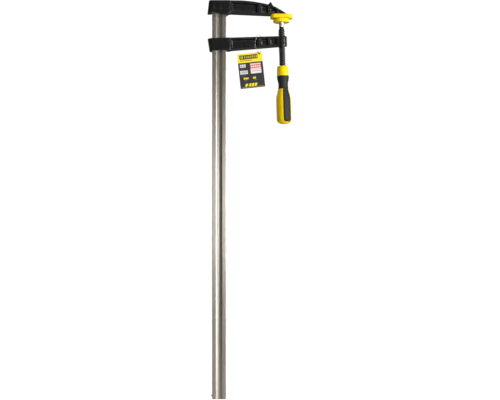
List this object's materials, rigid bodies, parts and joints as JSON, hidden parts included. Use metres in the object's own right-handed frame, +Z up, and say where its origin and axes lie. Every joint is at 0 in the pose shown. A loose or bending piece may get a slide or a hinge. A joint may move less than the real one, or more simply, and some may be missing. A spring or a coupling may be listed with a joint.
{
  "type": "f clamp",
  "caption": "Bar clamp with a fixed arm, a sliding arm, a screw spindle with swivel pad and handle, and a card tag tied on.",
  "frame": {"origin": "on the bar's centre line, level with the fixed arm's underside beside the bar, where the clamp hangs in a slotted rack", "axes": "+Z up along the bar towards the fixed arm, +X from the bar towards the jaws, +Y from the front face to the back"},
  "size_m": [0.1834, 0.035, 0.8575],
  "materials": {
    "bar_steel": "drawn steel with a thin clear oil film",
    "arm_paint": "semi-gloss black paint over a cast surface",
    "black_screw": "black oxide, oiled",
    "zinc_steel": "bright zinc plate",
    "yellow_cap": "soft glossy plastic",
    "yellow_plastic": "hard moulded plastic",
    "grip_rubber": "matt soft-touch",
    "nylon": "natural nylon",
    "tag_card": "coated printed card",
    "clear_string": "clear nylon line"
  },
  "bodies": {
    "frame": {"bar": "bar_steel", "end_stop_pin": "bar_steel", "fixed_arm": "arm_paint", "arm_rivets": "arm_paint", "jaw_cap": "yellow_cap"},
    "sliding_arm": {"sliding_arm": "arm_paint", "tag_string": "clear_string"},
    "ball_seat": {"ball_seat": "nylon"},
    "pad": {"pad_socket": "zinc_steel", "pad_cap": "yellow_cap"},
    "spindle": {"spindle": "black_screw", "handle_core": "yellow_plastic", "handle_grip": "grip_rubber", "handle_ferrule": "yellow_plastic"},
    "tag": {"hang_tag": "tag_card"}
  },
  "joints": [
    {"name": "arm_slide", "type": "slide", "parent": "frame", "child": "sliding_arm", "axis": [0, 0, -1], "range_m": [0, 0.735]},
    {"name": "spindle_feed", "type": "slide", "parent": "sliding_arm", "child": "ball_seat", "axis": [-0.0305, 0, 0.9995], "range_m": [-0.016, 0]},
    {"name": "spindle_turn", "type": "hinge", "parent": "ball_seat", "child": "spindle", "pos_m": [0.1341, 0, -0.0246], "axis": [-0.0305, 0, 0.9995], "range_deg": [-1440, 0]},
    {"name": "pad_tilt", "type": "hinge", "parent": "ball_seat", "child": "pad", "pos_m": [0.1341, 0, -0.0246], "axis": [0, 1, 0], "range_deg": [-3, 3]},
    {"name": "tag_swing", "type": "hinge", "parent": "sliding_arm", "child": "tag", "pos_m": [0.087, 0, -0.0857], "axis": [0, -1, 0], "range_deg": [-8, 20]}
  ],
  "couplings": [
    {"joint": "spindle_feed", "follows": "spindle_turn", "m_per_rad": 0.00063662}
  ]
}
